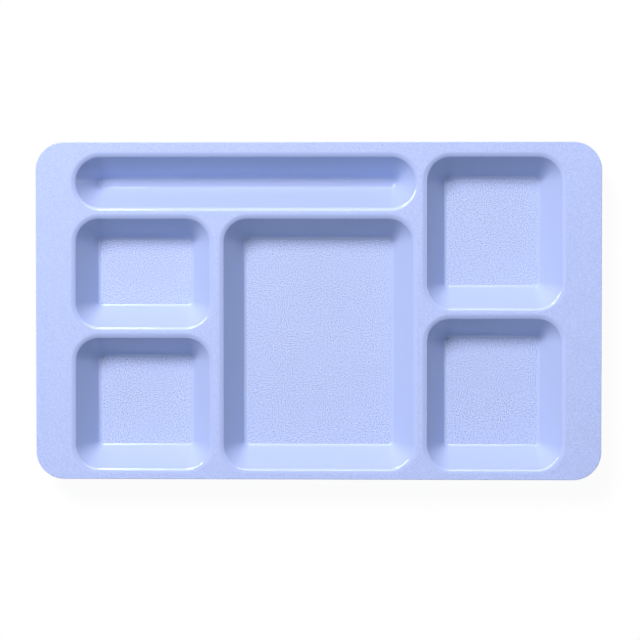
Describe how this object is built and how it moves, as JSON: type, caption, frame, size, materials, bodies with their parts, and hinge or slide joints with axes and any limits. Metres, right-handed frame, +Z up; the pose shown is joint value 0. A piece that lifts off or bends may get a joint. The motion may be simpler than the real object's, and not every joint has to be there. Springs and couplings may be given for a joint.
{
  "type": "compartment tray",
  "caption": "Rigid moulded meal tray with a long cutlery slot along the back and separate food wells that have sloping walls, rolled lips and finely grained floors.",
  "frame": {"origin": "centre of the tray's plan, on the plane of the undersides that it stands on", "axes": "+X along the tray's length to the right, +Y towards the cutlery slot at the back, +Z up"},
  "size_m": [0.38, 0.227, 0.0258],
  "materials": {
    "satin_plastic": "pale blue plastic with a fine satin texture, on the deck and the skirt",
    "polished_plastic": "pale blue plastic with smooth glossy faces, on the wells' walls",
    "grained_plastic": "pale blue plastic with a moulded pebble grain, on the wells' floors"
  },
  "bodies": {
    "root": {"deck": "satin_plastic", "edge_skirt": "satin_plastic", "cutlery_slot_wall": "polished_plastic", "cutlery_slot_floor": "polished_plastic", "back_left_well_wall": "polished_plastic", "back_left_well_floor": "grained_plastic", "front_left_well_wall": "polished_plastic", "front_left_well_floor": "grained_plastic", "main_well_wall": "polished_plastic", "main_well_floor": "grained_plastic", "back_right_well_wall": "polished_plastic", "back_right_well_floor": "grained_plastic", "front_right_well_wall": "polished_plastic", "front_right_well_floor": "grained_plastic"}
  },
  "joints": []
}
